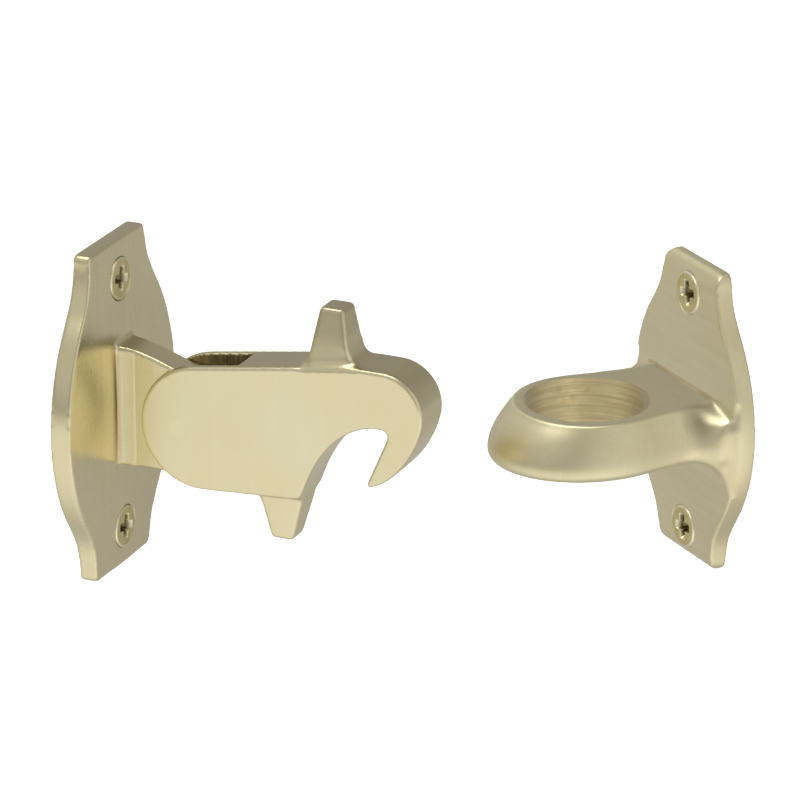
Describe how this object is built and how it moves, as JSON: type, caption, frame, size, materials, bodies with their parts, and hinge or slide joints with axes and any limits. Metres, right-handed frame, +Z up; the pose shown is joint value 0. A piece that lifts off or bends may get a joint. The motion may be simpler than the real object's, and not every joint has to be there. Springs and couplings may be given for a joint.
{
  "type": "door and shutter holdback",
  "caption": "Wall-mounted hook on a pivot that drops into a ring keeper screwed to a door or shutter leaf and holds it open.",
  "frame": {"origin": "centre of the wall plate's flat back face, where it rests on the wall", "axes": "+X straight out of the wall along the hook arm, +Z up the wall, +Y completes the right-handed frame"},
  "size_m": [0.1271, 0.0829, 0.0668],
  "materials": {
    "satin_brass_plate": "satin brushed",
    "satin_brass_arm": "satin brushed",
    "satin_brass_keeper": "satin brushed",
    "ground_pin_brass": "ground flush, satin",
    "screw_brass": "cast, lightly pitted"
  },
  "bodies": {
    "wall_unit": {"wall_plate": "satin_brass_plate", "wall_screw_upper": "screw_brass", "wall_screw_lower": "screw_brass"},
    "hook": {"hook_arm": "satin_brass_arm", "pivot_pin": "ground_pin_brass"},
    "leaf_keeper": {"keeper": "satin_brass_keeper", "leaf_screw_upper": "screw_brass", "leaf_screw_lower": "screw_brass"}
  },
  "joints": [
    {"name": "hook_swing", "type": "hinge", "parent": "wall_unit", "child": "hook", "pos_m": [0.0183, 0, -0.0013], "axis": [0, -1, 0], "range_deg": [0, 60]},
    {"name": "leaf_swing", "type": "hinge", "parent": "wall_unit", "child": "leaf_keeper", "pos_m": [0.0615, 0.01197, 0], "axis": [0, 0, -1], "range_deg": [0, 50.4]}
  ]
}
